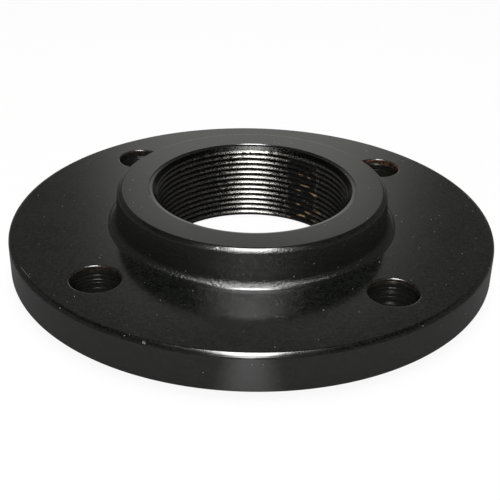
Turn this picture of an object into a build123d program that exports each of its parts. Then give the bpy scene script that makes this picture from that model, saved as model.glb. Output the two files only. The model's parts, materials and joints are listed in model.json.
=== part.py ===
from build123d import *
import os

# A screwed pipe flange: a round rim with bolt holes, a raised sealing face below it
# and a threaded hub above it. The origin is the centre of the sealing face, +Z is
# the side that the pipe screws into. All lengths are in millimetres.

# Rim
rim_diameter = 185.0
rim_thickness = 15.0
rim_edge_radius = 2.0

# Raised sealing face
sealing_face_diameter = 122.0
sealing_face_height = 3.0
sealing_face_chamfer = 0.5

# Hub, with forging draft on its wall
hub_base_diameter = 105.0
hub_top_diameter = 102.5
hub_height = 14.0
hub_edge_radius = 2.0
hub_root_radius = 3.2

# Bore, at the crests of its 2 1/2 inch pipe thread, with a shallow dish round its mouth
bore_diameter = 72.2
mouth_dish_width = 3.5
mouth_dish_depth = 1.1
bore_face_chamfer = 1.5

# Bolt holes, straddling the centre lines
bolt_circle_diameter = 145.0
bolt_hole_count = 4
bolt_hole_diameter = 18.0
bolt_hole_chamfer = 0.6

# Radii and heights that follow from the sizes above
rim_radius = rim_diameter / 2
sealing_face_radius = sealing_face_diameter / 2
hub_base_radius = hub_base_diameter / 2
hub_top_radius = hub_top_diameter / 2
bore_radius = bore_diameter / 2
mouth_dish_radius = bore_radius + mouth_dish_width
bolt_hole_radius = bolt_hole_diameter / 2
rim_bottom = sealing_face_height
rim_top = rim_bottom + rim_thickness
hub_top = rim_top + hub_height
bore_top = hub_top - mouth_dish_depth

with BuildPart() as flange:
    # Half section of the turned body, its x the radius and its y the height
    with BuildSketch(Plane.XZ) as section:
        with BuildLine():
            Polyline(
                (bore_radius, 0),
                (sealing_face_radius, 0),
                (sealing_face_radius, rim_bottom),
                (rim_radius, rim_bottom),
                (rim_radius, rim_top),
                (hub_base_radius, rim_top),
                (hub_top_radius, hub_top),
                (mouth_dish_radius, hub_top),
                (bore_radius, bore_top),
                close=True,
            )
        make_face()

        def corner(radius, height):
            """The corner of the section at this radius and height."""
            return section.vertices().sort_by_distance((radius, height))[0]

        fillet([corner(rim_radius, rim_bottom), corner(rim_radius, rim_top)], rim_edge_radius)
        fillet(corner(hub_base_radius, rim_top), hub_root_radius)
        fillet(corner(hub_top_radius, hub_top), hub_edge_radius)
        chamfer(corner(sealing_face_radius, 0), sealing_face_chamfer)
        chamfer(corner(bore_radius, 0), bore_face_chamfer)
    revolve(axis=Axis.Z)

    # Bolt holes, with a small chamfer where they meet either face of the rim
    for rim_face in (Plane.XY.offset(rim_top), -Plane.XY.offset(rim_bottom)):
        with Locations(rim_face):
            with PolarLocations(
                bolt_circle_diameter / 2, bolt_hole_count, start_angle=180 / bolt_hole_count
            ):
                CounterSinkHole(
                    bolt_hole_radius,
                    bolt_hole_radius + bolt_hole_chamfer,
                    counter_sink_angle=90,
                )

flange.part.label = "flange"
os.makedirs("parts", exist_ok=True)
export_step(flange.part, "parts/flange.step")
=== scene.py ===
import json
import random
from math import atan2, cos, hypot, pi, radians, sin, tan

import bmesh
import bpy
from mathutils import Matrix, Vector, noise


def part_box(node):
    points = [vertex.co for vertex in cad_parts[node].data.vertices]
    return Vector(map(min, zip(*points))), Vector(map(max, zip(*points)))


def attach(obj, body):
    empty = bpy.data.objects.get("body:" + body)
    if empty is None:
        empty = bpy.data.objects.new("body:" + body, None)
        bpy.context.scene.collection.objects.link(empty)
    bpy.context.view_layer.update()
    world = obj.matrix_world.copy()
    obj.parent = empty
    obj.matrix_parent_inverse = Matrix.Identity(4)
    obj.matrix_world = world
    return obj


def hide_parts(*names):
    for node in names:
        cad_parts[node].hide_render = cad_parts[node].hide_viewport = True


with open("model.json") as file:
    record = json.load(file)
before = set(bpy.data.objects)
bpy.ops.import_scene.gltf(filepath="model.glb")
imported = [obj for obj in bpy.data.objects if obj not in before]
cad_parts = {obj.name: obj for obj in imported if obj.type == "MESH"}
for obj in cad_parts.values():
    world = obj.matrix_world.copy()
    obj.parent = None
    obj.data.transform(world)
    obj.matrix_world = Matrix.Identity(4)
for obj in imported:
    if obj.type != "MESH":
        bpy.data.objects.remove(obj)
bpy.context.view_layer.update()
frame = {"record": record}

# The looks of a screwed pipe flange: a lacquered forging, turned and drilled, with a pipe
# thread cut into its bore. Lengths are metres, and +Z is the side that the pipe screws into.

MM = 0.001

# Sizes that the frame gives
FLANGE_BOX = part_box("flange")
MOUNTS = {mount["name"]: mount for mount in frame["record"]["mounts"]}
RIM_RADIUS = FLANGE_BOX[1][0]
HUB_TOP = FLANGE_BOX[1][2]
BORE_RADIUS = MOUNTS["pipe_thread"]["dims"]["r_mm"] * MM
BOLT_CIRCLE_RADIUS = MOUNTS["bolt_holes"]["dims"]["pcd_mm"] * MM / 2
BOLT_HOLE_RADIUS = MOUNTS["bolt_holes"]["dims"]["hole_r_mm"] * MM
BOLT_HOLES = MOUNTS["bolt_holes"]["dims"]["count"]

# Sizes of the turned body
RIM_BOTTOM = 3 * MM
RIM_TOP = 18 * MM
RIM_EDGE_ROUND = 2 * MM
SEALING_FACE_RADIUS = 61 * MM
SEALING_FACE_CHAMFER = 0.5 * MM
HUB_BASE_RADIUS = 52.5 * MM
HUB_TOP_RADIUS = 51.25 * MM
HUB_EDGE_ROUND = 2 * MM
HUB_ROOT_ROUND = 3.2 * MM
MOUTH_RADIUS = BORE_RADIUS + 3.4 * MM
MOUTH_STEP = 0.25 * MM
MOUTH_DISH_WIDTH = 1.4 * MM
MOUTH_DISH_DEPTH = 0.45 * MM
FACE_CHAMFER = 1.5 * MM
BLANK_BORE_RADIUS = BORE_RADIUS - 0.3 * MM
TURN_STEPS = 360

# Bolt holes, whose walls keep the marks of the drill
HOLE_STEPS = 72
HOLE_EDGE_ROUND = 0.6 * MM
DRILL_MARKS = 22
DRILL_MARK_DEPTH = 0.17 * MM
DRILL_WANDER = 0.05 * MM

# Pipe thread of 11 turns an inch, its crests worn round and its roots shallow with grease
PITCH = 25.4 * MM / 11
THREAD_DEPTH = 0.85 * MM
FLANK_STEEPNESS = radians(43)
FLANK_REACH = PITCH / 2 * sin(FLANK_STEEPNESS) - THREAD_DEPTH * cos(FLANK_STEEPNESS)
THREAD_ROUND = FLANK_REACH / (2 - 2 * cos(FLANK_STEEPNESS))
THREAD_STEPS = 240
THREAD_ROUND_STEPS = 4
THREAD_WANDER = 0.05 * MM
TORN_TURN = radians(-6)
TORN_SPREAD = radians(24)
TORN_HEIGHT = 5 * MM
TORN_DEPTH = 0.5 * MM

# Chips in the edges: the angle round the axis in degrees, and how wide each one is
HUB_EDGE_CHIPS = [(-100.3, 1.0 * MM), (-97.4, 0.8 * MM), (-132.5, 0.9 * MM), (-130.6, 0.6 * MM), (-47.0, 0.6 * MM)]
RIM_EDGE_CHIPS = [(-89.6, 0.5 * MM), (-88.7, 0.4 * MM), (-108.3, 1.3 * MM), (-73.8, 0.9 * MM), (-68.0, 0.8 * MM)]

# Finishes, in the order of the flange's material slots
LACQUER, THREAD, DRILLED, CHIPPED = range(4)


def new_object(name, mesh_data):
    """An object at the origin, in the scene, with this mesh."""
    made = bpy.data.objects.new(name, mesh_data)
    bpy.context.scene.collection.objects.link(made)
    return made


def close_and_orient(mesh):
    """Merges the doubles of a shape and turns its faces outwards."""
    bmesh.ops.remove_doubles(mesh, verts=mesh.verts[:], dist=0.001 * MM)
    bmesh.ops.recalc_face_normals(mesh, faces=mesh.faces[:])


def finished(mesh, name, finish=LACQUER):
    """The bmesh as an object, with one finish all over."""
    for face in mesh.faces:
        face.material_index = finish
    data = bpy.data.meshes.new(name)
    mesh.to_mesh(data)
    mesh.free()
    return new_object(name, data)


def circular_edges(mesh, radius, height, centre=(0, 0)):
    """The edges that run round the Z axis, or round this centre, at this radius and height."""
    def on_circle(vert):
        out = hypot(vert.co.x - centre[0], vert.co.y - centre[1])
        return abs(out - radius) < 0.01 * MM and abs(vert.co.z - height) < 0.01 * MM

    return [edge for edge in mesh.edges if all(on_circle(vert) for vert in edge.verts)]


def round_edge(mesh, edges, width, segments):
    """Rounds the edges, or chamfers them if there is one segment."""
    bmesh.ops.bevel(
        mesh,
        geom=edges,
        offset=width,
        offset_type="OFFSET",
        segments=segments,
        profile=0.5,
        affect="EDGES",
        material=-1,
    )


def turned(mesh, outline, steps, centre=(0, 0)):
    """Spins an open or closed outline of radii and heights round an upright axis."""
    verts = [mesh.verts.new((centre[0] + radius, centre[1], height)) for radius, height in outline]
    edges = [mesh.edges.new(pair) for pair in zip(verts, verts[1:])]
    bmesh.ops.spin(
        mesh,
        geom=verts + edges,
        cent=(*centre, 0),
        axis=(0, 0, 1),
        angle=2 * pi,
        steps=steps,
        use_merge=True,
    )


def turned_body():
    """The body as turned, before it is drilled and threaded."""
    mesh = bmesh.new()
    dish_foot = (MOUTH_RADIUS - MOUTH_DISH_WIDTH, HUB_TOP - MOUTH_DISH_DEPTH)
    corners = [
        (BLANK_BORE_RADIUS, 0),
        (SEALING_FACE_RADIUS, 0),
        (SEALING_FACE_RADIUS, RIM_BOTTOM),
        (RIM_RADIUS, RIM_BOTTOM),
        (RIM_RADIUS, RIM_TOP),
        (HUB_BASE_RADIUS, RIM_TOP),
        (HUB_TOP_RADIUS, HUB_TOP),
        (MOUTH_RADIUS, HUB_TOP),
        (MOUTH_RADIUS - MOUTH_STEP, HUB_TOP - MOUTH_STEP),
        dish_foot,
        (BLANK_BORE_RADIUS, dish_foot[1] - (dish_foot[0] - BLANK_BORE_RADIUS)),
    ]
    turned(mesh, corners + corners[:1], TURN_STEPS)
    close_and_orient(mesh)
    draft = (HUB_BASE_RADIUS - HUB_TOP_RADIUS) / (HUB_TOP - RIM_TOP)
    drafted_corner = tan((pi / 2 - draft) / 2)
    face_mouth = FACE_CHAMFER + BORE_RADIUS - BLANK_BORE_RADIUS
    round_edge(mesh, circular_edges(mesh, RIM_RADIUS, RIM_TOP), RIM_EDGE_ROUND, 8)
    round_edge(mesh, circular_edges(mesh, RIM_RADIUS, RIM_BOTTOM), RIM_EDGE_ROUND, 8)
    round_edge(mesh, circular_edges(mesh, HUB_BASE_RADIUS, RIM_TOP), HUB_ROOT_ROUND * drafted_corner, 12)
    round_edge(mesh, circular_edges(mesh, HUB_TOP_RADIUS, HUB_TOP), HUB_EDGE_ROUND * drafted_corner, 8)
    round_edge(mesh, circular_edges(mesh, SEALING_FACE_RADIUS, 0), SEALING_FACE_CHAMFER, 1)
    round_edge(mesh, circular_edges(mesh, BLANK_BORE_RADIUS, 0), face_mouth, 1)
    join_flat_rings(mesh)
    body = finished(mesh, "turned_body")
    for face in body.data.polygons:
        if hypot(face.center.x, face.center.y) < dish_foot[0] and face.center.z > RIM_TOP:
            face.material_index = THREAD
    return body


def join_flat_rings(mesh):
    """Joins the flat faces of each ring of the rim in quarters, so that drilling leaves clean edges."""
    for height in (RIM_TOP, RIM_BOTTOM):
        for x_side in (1, -1):
            for y_side in (1, -1):
                quarter = [
                    face
                    for face in mesh.faces
                    if all(abs(vert.co.z - height) < 0.001 * MM for vert in face.verts)
                    and face.calc_center_median().x * x_side > 0
                    and face.calc_center_median().y * y_side > 0
                ]
                bmesh.ops.dissolve_faces(mesh, faces=quarter)


def bolt_places():
    """The centres of the bolt holes, which straddle the centre lines."""
    step = 2 * pi / BOLT_HOLES
    angles = [step * (number + 0.5) for number in range(BOLT_HOLES)]
    return [(BOLT_CIRCLE_RADIUS * cos(angle), BOLT_CIRCLE_RADIUS * sin(angle)) for angle in angles]


def drills():
    """Rods as rough as the bolt holes are, one for each, whose ends stand out of the rim."""
    mesh = bmesh.new()
    chance = random.Random(5)
    plain_bottom = RIM_BOTTOM + 1.5 * HOLE_EDGE_ROUND
    plain_top = RIM_TOP - 1.5 * HOLE_EDGE_ROUND
    mark_height = (plain_top - plain_bottom) / DRILL_MARKS
    for place in bolt_places():
        wall = []
        for number in range(DRILL_MARKS):
            bottom = plain_bottom + number * mark_height
            depth = chance.uniform(0.2, 1) * DRILL_MARK_DEPTH
            wall += [(BOLT_HOLE_RADIUS, bottom), (BOLT_HOLE_RADIUS + depth, bottom + mark_height / 2)]
        outline = [
            (0, -RIM_TOP),
            (BOLT_HOLE_RADIUS, -RIM_TOP),
            *wall,
            (BOLT_HOLE_RADIUS, plain_top),
            (BOLT_HOLE_RADIUS, 2 * RIM_TOP),
            (0, 2 * RIM_TOP),
        ]
        turned(mesh, outline, HOLE_STEPS, place)
    close_and_orient(mesh)
    for vert in mesh.verts:
        if plain_bottom < vert.co.z < plain_top:
            vert.co += vert.normal * DRILL_WANDER * noise.noise(vert.co / (0.7 * MM))
    return finished(mesh, "drills", DRILLED)


def thread_tap():
    """A rod with the thread on it, which cuts the bore."""
    mesh = bmesh.new()
    crest_centre = BORE_RADIUS + THREAD_DEPTH - THREAD_ROUND
    root_centre = BORE_RADIUS + THREAD_ROUND
    arc = [FLANK_STEEPNESS * (2 * step / THREAD_ROUND_STEPS - 1) for step in range(THREAD_ROUND_STEPS + 1)]
    verts = []
    turn = -2 * PITCH
    while turn < HUB_TOP + 2 * PITCH:
        for angle in arc:
            crest = turn + THREAD_ROUND * sin(angle)
            verts.append(mesh.verts.new((crest_centre + THREAD_ROUND * cos(angle), 0, crest)))
        for angle in arc:
            root = turn + PITCH / 2 + THREAD_ROUND * sin(angle)
            verts.append(mesh.verts.new((root_centre - THREAD_ROUND * cos(angle), 0, root)))
        turn += PITCH
    edges = [mesh.edges.new(pair) for pair in zip(verts, verts[1:])]
    bmesh.ops.spin(
        mesh,
        geom=verts + edges,
        cent=(0, 0, 0),
        axis=(0, 0, 1),
        dvec=(0, 0, PITCH / THREAD_STEPS),
        angle=2 * pi,
        steps=THREAD_STEPS,
        use_merge=False,
    )
    bmesh.ops.remove_doubles(mesh, verts=mesh.verts[:], dist=0.002 * MM)
    for height, side in ((-0.4 * PITCH, -1), (HUB_TOP + 0.4 * PITCH, 1)):
        cut = bmesh.ops.bisect_plane(
            mesh,
            geom=mesh.verts[:] + mesh.edges[:] + mesh.faces[:],
            dist=0.0001 * MM,
            plane_co=(0, 0, height),
            plane_no=(0, 0, side),
            clear_outer=True,
        )["geom_cut"]
        rim = [item for item in cut if isinstance(item, bmesh.types.BMEdge)]
        bmesh.ops.edgeloop_fill(mesh, edges=rim)
    bmesh.ops.recalc_face_normals(mesh, faces=mesh.faces[:])
    roughen_thread(mesh)
    return finished(mesh, "thread_tap", THREAD)


def roughen_thread(mesh):
    """Leaves the thread a little uneven, and torn where the tap started at the mouth."""
    for vert in mesh.verts:
        out = Vector((vert.co.x, vert.co.y, 0)).normalized()
        behind = max(0, 1 - abs(atan2(vert.co.x, vert.co.y) - TORN_TURN) / TORN_SPREAD)
        start = max(0, min(1, (vert.co.z - HUB_TOP + TORN_HEIGHT) / PITCH))
        wander = THREAD_WANDER * noise.noise(vert.co / (2.2 * MM))
        torn = TORN_DEPTH * behind * start * noise.noise(vert.co / (0.6 * MM))
        vert.co += out * (wander + torn)


def chip_lumps():
    """Rough lumps that bite small chips out of the edges of the hub and the rim."""
    mesh = bmesh.new()
    bites = [(HUB_TOP_RADIUS, HUB_TOP, angle, width) for angle, width in HUB_EDGE_CHIPS]
    bites += [(RIM_RADIUS, RIM_TOP, angle, width) for angle, width in RIM_EDGE_CHIPS]
    for radius, height, angle, width in bites:
        turn = radians(angle)
        edge = Vector((radius * cos(turn), radius * sin(turn), height))
        out = Vector((cos(turn), sin(turn), 1)).normalized()
        made = bmesh.ops.create_icosphere(mesh, subdivisions=2, radius=width)
        for vert in made["verts"]:
            vert.co *= 1 + 0.3 * noise.noise(vert.co / (0.5 * width) + edge / MM)
            vert.co += edge + out * 0.25 * width
    bmesh.ops.recalc_face_normals(mesh, faces=mesh.faces[:])
    return finished(mesh, "chip_lumps", CHIPPED)


def cut_away(body, tool, finishes):
    """Cuts the tool out of the body, which keeps the tool's finish there, and removes the tool."""
    for finish in finishes:
        tool.data.materials.append(finish)
    modifier = body.modifiers.new("cut", "BOOLEAN")
    modifier.operation = "DIFFERENCE"
    modifier.solver = "EXACT"
    modifier.object = tool
    cut_mesh = bpy.data.meshes.new_from_object(body.evaluated_get(bpy.context.evaluated_depsgraph_get()))
    body.modifiers.clear()
    body.data = cut_mesh
    bpy.data.objects.remove(tool)


def soften_drilled_edges(body):
    """Rounds the edges of the bolt holes, as lacquer and a countersink leave them."""
    mesh = bmesh.new()
    mesh.from_mesh(body.data)
    edges = []
    for place in bolt_places():
        for height in (RIM_TOP, RIM_BOTTOM):
            edges += circular_edges(mesh, BOLT_HOLE_RADIUS, height, place)
    round_edge(mesh, edges, HOLE_EDGE_ROUND, 4)
    mesh.to_mesh(body.data)
    mesh.free()


def make_flange(finishes):
    body = turned_body()
    for finish in finishes:
        body.data.materials.append(finish)
    cut_away(body, drills(), finishes)
    soften_drilled_edges(body)
    cut_away(body, chip_lumps(), finishes)
    cut_away(body, thread_tap(), finishes)
    body.name = "flange_body"
    body.data.name = "flange_body"
    body.data.polygons.foreach_set("use_smooth", [True] * len(body.data.polygons))
    body.data.set_sharp_from_angle(angle=radians(35))
    normals = body.modifiers.new("even_normals", "WEIGHTED_NORMAL")
    normals.keep_sharp = True
    normals.weight = 80
    return body


# Finishes


class Wire:
    """An output of a node. Arithmetic on wires and numbers adds Math nodes."""

    def __init__(self, nodes, socket):
        self.nodes = nodes
        self.socket = socket

    def __add__(self, other):
        return self.nodes.math("ADD", self, other)

    def __radd__(self, other):
        return self.nodes.math("ADD", other, self)

    def __sub__(self, other):
        return self.nodes.math("SUBTRACT", self, other)

    def __rsub__(self, other):
        return self.nodes.math("SUBTRACT", other, self)

    def __mul__(self, other):
        return self.nodes.math("MULTIPLY", self, other)

    def __rmul__(self, other):
        return self.nodes.math("MULTIPLY", other, self)

    def __truediv__(self, other):
        return self.nodes.math("DIVIDE", self, other)

    def output(self, name):
        """Another output of the same node."""
        return Wire(self.nodes, self.socket.node.outputs[name])


class Nodes:
    """The nodes of one material or of the world."""

    def __init__(self, tree):
        self.tree = tree

    def add(self, kind, settings=None, inputs=None, output=0):
        """Adds a node with its settings, then the values or wires of its sockets."""
        node = self.tree.nodes.new(kind)
        for name, value in (settings or {}).items():
            setattr(node, name, value)
        for socket, value in (inputs or {}).items():
            self.feed(node.inputs[socket], value)
        return Wire(self, node.outputs[output]) if node.outputs else None

    def feed(self, socket, value):
        """Sets a socket to a value, or links a wire to it."""
        if isinstance(value, Wire):
            self.tree.links.new(value.socket, socket)
        else:
            socket.default_value = value

    def math(self, operation, *values):
        return self.add("ShaderNodeMath", {"operation": operation}, dict(enumerate(values)))

    def rise(self, value, start, end):
        """0 before start and 1 past end, with a smooth rise between them. It falls if end comes first."""
        limits = {"Value": value, "From Min": start, "From Max": end}
        return self.add("ShaderNodeMapRange", {"interpolation_type": "SMOOTHSTEP"}, limits)

    def band(self, value, start, end, soft):
        """1 between start and end, and 0 outside them."""
        return self.rise(value, start - soft, start + soft) * self.rise(value, end + soft, end - soft)

    def blend(self, share, first, second):
        """A colour between two colours."""
        return self.add("ShaderNodeMix", {"data_type": "RGBA"}, {0: share, 6: first, 7: second}, 2)

    def stretched(self, vector, sideways, upward):
        """Coordinates counted in these lengths, across and up."""
        grid = (1 / sideways, 1 / sideways, 1 / upward)
        return self.add("ShaderNodeVectorMath", {"operation": "MULTIPLY"}, {0: vector, 1: grid})

    def grain(self, vector, size, detail=2.0):
        """Uneven values from 0 to 1 whose lumps are about this size."""
        return self.add("ShaderNodeTexNoise", None, {"Vector": vector, "Scale": 1 / size, "Detail": detail})

    def specks(self, vector, spacing, radius, share):
        """Small round specks strewn at random: a mask of them, and a random value for each."""
        cells = self.add("ShaderNodeTexVoronoi", None, {"Vector": vector, "Scale": 1 / spacing})
        chance = self.add("ShaderNodeSeparateColor", None, {0: cells.output("Color")})
        near = self.rise(cells, radius / spacing, 0.6 * radius / spacing)
        return near * self.rise(chance, share + 0.01, share), chance.output("Green")


class Finish(Nodes):
    """A material with its shader, and where on the flange each point of it lies."""

    def __init__(self, name):
        self.material = bpy.data.materials.new(name)
        self.material.use_nodes = True
        super().__init__(self.material.node_tree)
        self.shader = self.tree.nodes["Principled BSDF"]
        self.place = self.add("ShaderNodeTexCoord", output="Object")
        self.x = self.add("ShaderNodeSeparateXYZ", None, {0: self.place})
        self.y = self.x.output("Y")
        self.height = self.x.output("Z")
        self.out = self.math("SQRT", self.x * self.x + self.y * self.y)
        self.turn = self.math("ARCTAN2", self.x, self.y)

    def set(self, socket, value):
        self.feed(self.shader.inputs[socket], value)

    def bump(self, height, depth):
        """Raises the surface by this depth, in metres, where the height is 1."""
        normal = self.add("ShaderNodeBump", None, {"Height": height, "Distance": depth})
        self.set("Normal", normal)

    def scratch(self, start, end, width):
        """1 along a straight scratch between two points of the flange, falling to 0 at this distance."""
        line = Vector(end) - Vector(start)
        offset = self.add("ShaderNodeVectorMath", {"operation": "SUBTRACT"}, {0: self.place, 1: start})
        along = self.add("ShaderNodeVectorMath", {"operation": "DOT_PRODUCT"}, {0: offset, 1: line.normalized()}, "Value")
        off_line = self.add("ShaderNodeVectorMath", {"operation": "CROSS_PRODUCT"}, {0: offset, 1: line.normalized()})
        distance = self.add("ShaderNodeVectorMath", {"operation": "LENGTH"}, {0: off_line}, "Value")
        return self.rise(distance, width, 0.3 * width) * self.band(along, 0, line.length, width)


def black_lacquer():
    """Glossy black lacquer over forged and turned steel, with dust on it and thin edges, the lightest dust specks
    being painted glints.
    """
    coat = Finish("black_lacquer")
    cloudy = coat.grain(coat.place, 14 * MM, 3)
    fine = coat.grain(coat.place, 0.55 * MM, 2)
    streaks = coat.grain(coat.stretched(coat.place, 9 * MM, 0.45 * MM), 1, 3)

    on_wall = coat.band(coat.out, HUB_TOP_RADIUS - 0.3 * MM, HUB_BASE_RADIUS + 1.6 * MM, 0.8 * MM)
    on_wall = on_wall * coat.rise(coat.height, RIM_TOP, RIM_TOP + 0.8 * MM)
    on_rim_side = coat.rise(coat.out, RIM_RADIUS - 0.5 * MM, RIM_RADIUS - 0.05 * MM)

    dust, dust_and_glint_tone = coat.specks(coat.place, 1.7 * MM, 0.17 * MM, 0.12)
    # Painted shade: the lacquer is painted darker on the hub's wall, as dark as the wall looks where it reflects the
    # black disc.
    mottle_and_wall_shade = coat.rise(coat.grain(coat.place, 0.8 * MM, 3), 0.36, 0.64) * (1 - 0.6 * on_wall)
    film = coat.blend(mottle_and_wall_shade, (0.0006, 0.0010, 0.0004, 1), (0.0080, 0.0089, 0.0068, 1))
    # Dust specks from dark to near white; the lightest of them are painted glints, bright tones that stand in for
    # sparkles of light.
    dust_and_glint_colour = coat.blend(dust_and_glint_tone, (0.03, 0.03, 0.028, 1), (0.65, 0.65, 0.60, 1))
    scratches = coat.scratch((-79.3 * MM, -44.8 * MM, RIM_TOP), (-73.8 * MM, -52.6 * MM, RIM_TOP), 0.22 * MM)
    scratches = scratches + coat.scratch((10.3 * MM, 49.1 * MM, HUB_TOP), (17.5 * MM, 46.5 * MM, HUB_TOP), 0.3 * MM)
    scratches = scratches * coat.rise(fine, 0.35, 0.5)
    coat.set("Base Color", coat.blend(scratches, coat.blend(dust, film, dust_and_glint_colour), (0.08, 0.08, 0.07, 1)))

    rough = 0.13 + 0.08 * cloudy + 0.10 * (fine - 0.5) + 0.08 * on_wall
    coat.set("Roughness", rough + 0.3 * dust)
    coat.set("IOR", 2.1)

    peel = coat.grain(coat.place, 2.6 * MM, 2)
    skin = coat.grain(coat.place, 0.5 * MM, 3)
    lift = 0.008 * peel + 0.006 * fine + on_wall * (0.16 * skin + 0.20 * coat.grain(coat.place, 1.0 * MM, 3)) + 0.08 * on_rim_side * streaks + 0.03 * dust
    coat.bump(lift, MM)
    return coat.material


def oiled_thread():
    """Cut threads in oiled steel, darker towards their roots, with a run of lacquer down them that has worn to brown.
    """
    steel = Finish("oiled_thread")
    depth = (steel.out - BORE_RADIUS) / THREAD_DEPTH
    chatter = steel.grain(steel.stretched(steel.place, 8 * MM, 0.12 * MM), 1, 2)
    cloudy = steel.grain(steel.place, 5 * MM, 3)
    ragged = steel.grain(steel.place, 1.3 * MM, 2)

    turn = steel.turn + 0.10 * (ragged - 0.5) + 0.12 * (cloudy - 0.5)
    run = steel.band(turn, radians(20.5), radians(43), radians(0.8))
    run = run * steel.rise(steel.height, HUB_TOP - 2.5 * MM, HUB_TOP - 4 * MM)
    smear = steel.grain(steel.stretched(steel.place, 6 * MM, 1.4 * MM), 1, 2)
    worn = steel.band(turn, radians(23), radians(52), radians(4)) * steel.rise(smear, 0.56, 0.66)
    worn = worn * steel.rise(depth, 0.6, 0.1) * steel.rise(steel.height, HUB_TOP - 5 * MM, HUB_TOP - 8 * MM)

    bare = steel.blend(cloudy, (0.14, 0.14, 0.13, 1), (0.36, 0.35, 0.33, 1))
    # The colour turns darker towards the thread roots.
    root_darkened = steel.blend(steel.rise(depth, 0.35, 0.9), bare, (0.03, 0.03, 0.028, 1))
    covered = steel.blend(run, root_darkened, (0.006, 0.006, 0.006, 1))
    brown = steel.blend(ragged, (0.32, 0.13, 0.03, 1), (0.62, 0.46, 0.28, 1))
    steel.set("Base Color", steel.blend(worn, covered, brown))
    steel.set("Metallic", 1 - run * (1 - worn) - worn * 0.5)
    patchy = steel.rise(steel.grain(steel.place, 0.5 * MM, 2), 0.4, 0.6)
    steel.set("Roughness", 0.10 + 0.24 * patchy + 0.15 * worn)
    steel.bump(0.05 * chatter + 0.03 * run * ragged, MM)
    return steel.material


def drilled_wall():
    """The ringed wall of a bolt hole, thinly lacquered, with the most rust in the hole at the back right."""
    wall = Finish("drilled_wall")
    rings = wall.grain(wall.stretched(wall.place, 2.5 * MM, 0.3 * MM), 1, 3)
    ragged = wall.grain(wall.place, 1.1 * MM, 3)
    mouth = wall.rise(wall.height, RIM_TOP - 4.5 * MM, RIM_TOP - 1.2 * MM)
    damp = wall.rise(wall.x, 0, BOLT_HOLE_RADIUS) * wall.rise(wall.y, 0, BOLT_HOLE_RADIUS)
    rust = wall.rise(ragged * mouth, 0.42, 0.6) * (0.3 + 0.7 * damp)
    black = wall.blend(rings, (0.008, 0.008, 0.007, 1), (0.075, 0.075, 0.070, 1))
    wall.set("Base Color", wall.blend(rust, black, (0.13, 0.055, 0.022, 1)))
    wall.set("Metallic", 0.7 * (1 - rust))
    wall.set("Roughness", 0.20 + 0.2 * ragged + 0.3 * rust)
    wall.bump(0.06 * rings + 0.02 * ragged, MM)
    return wall.material


def chipped_steel():
    """Bare steel where lacquer has been knocked off an edge."""
    chip = Finish("chipped_steel")
    ragged = chip.grain(chip.place, 0.3 * MM, 2)
    chip.set("Base Color", chip.blend(ragged, (0.10, 0.10, 0.09, 1), (0.5, 0.5, 0.48, 1)))
    chip.set("Metallic", 0.8)
    chip.set("Roughness", 0.35 + 0.2 * ragged)
    chip.bump(0.03 * ragged, MM)
    return chip.material


# Light, floor and camera

CAMERA_DISTANCE = 394.3 * MM
CAMERA_HEIGHT_ANGLE = radians(29.19)
CAMERA_TURN = radians(2.65)
CAMERA_ROLL = radians(1.13)
CAMERA_AIM = Vector((-0.45 * MM, 0, RIM_BOTTOM + 0.43 * MM))
CAMERA_SENSOR = 36.0
CAMERA_LENS_SHARE = 997 / 500


def towards(azimuth, elevation):
    """The direction of a place in the studio. Azimuth 0 is the side of the flange that faces the camera."""
    turn = azimuth + CAMERA_TURN
    return Vector((sin(turn) * cos(elevation), -cos(turn) * cos(elevation), sin(elevation)))


def facing(direction):
    """The turn of a lamp or camera that looks along a direction."""
    return direction.to_track_quat("-Z", "Y").to_matrix().to_4x4()


def make_camera():
    """The camera of the photograph, aimed close to the axis at the height of the rim's underside."""
    data = bpy.data.cameras.new("camera")
    data.sensor_width = CAMERA_SENSOR
    data.lens = CAMERA_SENSOR * CAMERA_LENS_SHARE
    data.clip_start = 0.01
    camera = new_object("camera", data)
    place = Vector((0, 0, RIM_BOTTOM)) + towards(0, CAMERA_HEIGHT_ANGLE) * CAMERA_DISTANCE
    rolled = Matrix.Rotation(CAMERA_ROLL, 4, "Z")
    camera.matrix_world = Matrix.Translation(place) @ facing(CAMERA_AIM - place) @ rolled
    bpy.context.scene.camera = camera


def make_lamp(name, azimuth, elevation, distance, width, height, brightness):
    """A rectangular soft lamp of this brightness that faces the flange."""
    data = bpy.data.lights.new(name, "AREA")
    data.shape = "RECTANGLE"
    data.size = width
    data.size_y = height
    data.energy = pi * width * height * brightness
    lamp = new_object(name, data)
    outward = towards(azimuth, elevation)
    lamp.matrix_world = Matrix.Translation(outward * distance) @ facing(-outward)


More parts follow.
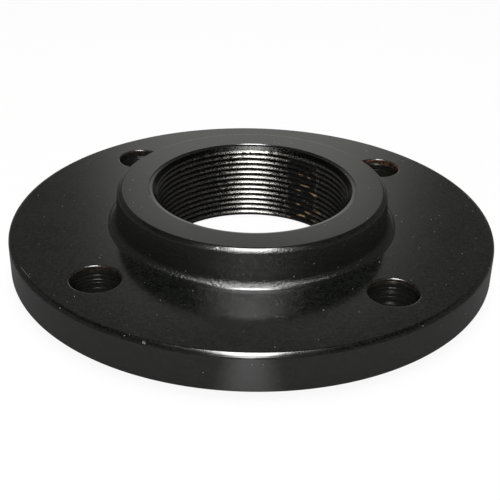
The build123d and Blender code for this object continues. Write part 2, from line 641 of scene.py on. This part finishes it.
def make_studio_walls():
    """The world: pale walls that darken towards the ceiling, with a white card behind the flange."""
    world = bpy.data.worlds.new("studio_walls")
    bpy.context.scene.world = world
    world.use_nodes = True
    walls = Nodes(world.node_tree)
    direction = walls.add("ShaderNodeTexCoord", output="Generated")
    rise = walls.add("ShaderNodeSeparateXYZ", None, {0: direction}).output("Z")
    behind = tuple(towards(pi, 0))
    ahead = walls.add("ShaderNodeVectorMath", {"operation": "DOT_PRODUCT"}, {0: direction, 1: behind}, "Value")
    level = walls.math("SQRT", 1 - rise * rise)
    low = walls.rise(rise, sin(radians(24)), sin(radians(8)))
    low = low * walls.rise(ahead / level, cos(radians(32)), cos(radians(14)))
    middle = walls.rise(rise, sin(radians(50)), sin(radians(30)))
    card = walls.rise(ahead / level, cos(radians(12)), cos(radians(3)))
    card = card * walls.rise(rise, sin(radians(33)), sin(radians(27)))
    front = walls.rise(-1 * ahead / level, cos(radians(10)), cos(radians(1)))
    front = front * walls.band(rise, sin(radians(24)), sin(radians(40)), sin(radians(8)))
    brightness = 0.013 + 0.066 * middle + 0.27 * low + 0.42 * card + 9 * front
    background = world.node_tree.nodes["Background"]
    walls.feed(background.inputs["Color"], (1.0, 1.0, 0.95, 1))
    walls.feed(background.inputs["Strength"], brightness)


def make_floor():
    """A plain pale floor, white to the camera and in reflections, which keeps a light shadow. In reflections it has
    painted shade near the flange and a painted bright strip in front of it, which paints a sheen on the rim's side.
    """
    mesh = bmesh.new()
    bmesh.ops.create_grid(mesh, x_segments=1, y_segments=1, size=3.0)
    floor = finished(mesh, "floor")
    paint = Finish("floor_paint")
    rays = paint.add("ShaderNodeLightPath")
    seen = rays.output("Is Camera Ray")
    mirrored = paint.math("MAXIMUM", rays.output("Is Glossy Ray"), rays.output("Is Transmission Ray"))
    # Painted shade: ambient occlusion darkens the floor's glow in reflections near the flange, a painted contact
    # shadow under the rim.
    ao_painted_shade = paint.add("ShaderNodeAmbientOcclusion", {"samples": 4}, {"Distance": 0.03}, "AO")
    # Painted sheen: a strip of floor in front of the flange glows brighter, in reflections only, to paint a sheen on
    # the middle of the rim's side.
    across = paint.math("ABSOLUTE", paint.x * cos(CAMERA_TURN) + paint.y * sin(CAMERA_TURN))
    painted_sheen_strip = paint.rise(across, 16 * MM, 2 * MM) * paint.rise(paint.y, 0, -RIM_RADIUS)
    glow = 0.92 * seen + (0.085 + 0.45 * painted_sheen_strip) * mirrored * ao_painted_shade
    paint.set("Base Color", paint.blend(seen + mirrored, (0.8, 0.8, 0.8, 1), (0.07, 0.07, 0.07, 1)))
    paint.set("Roughness", 0.9)
    paint.set("Specular IOR Level", 0.0)
    paint.set("Emission Color", paint.blend(glow, (0, 0, 0, 1), (1, 1, 1, 1)))
    paint.set("Emission Strength", 1.0)
    floor.data.materials.append(paint.material)


flange = make_flange([black_lacquer(), oiled_thread(), drilled_wall(), chipped_steel()])
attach(flange, "root")
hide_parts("flange")

make_floor()
make_studio_walls()
make_lamp("overhead_box", 0, radians(75), 1.0, 0.26, 1.20, 13)
make_camera()
bpy.context.scene.view_settings.view_transform = "Standard"
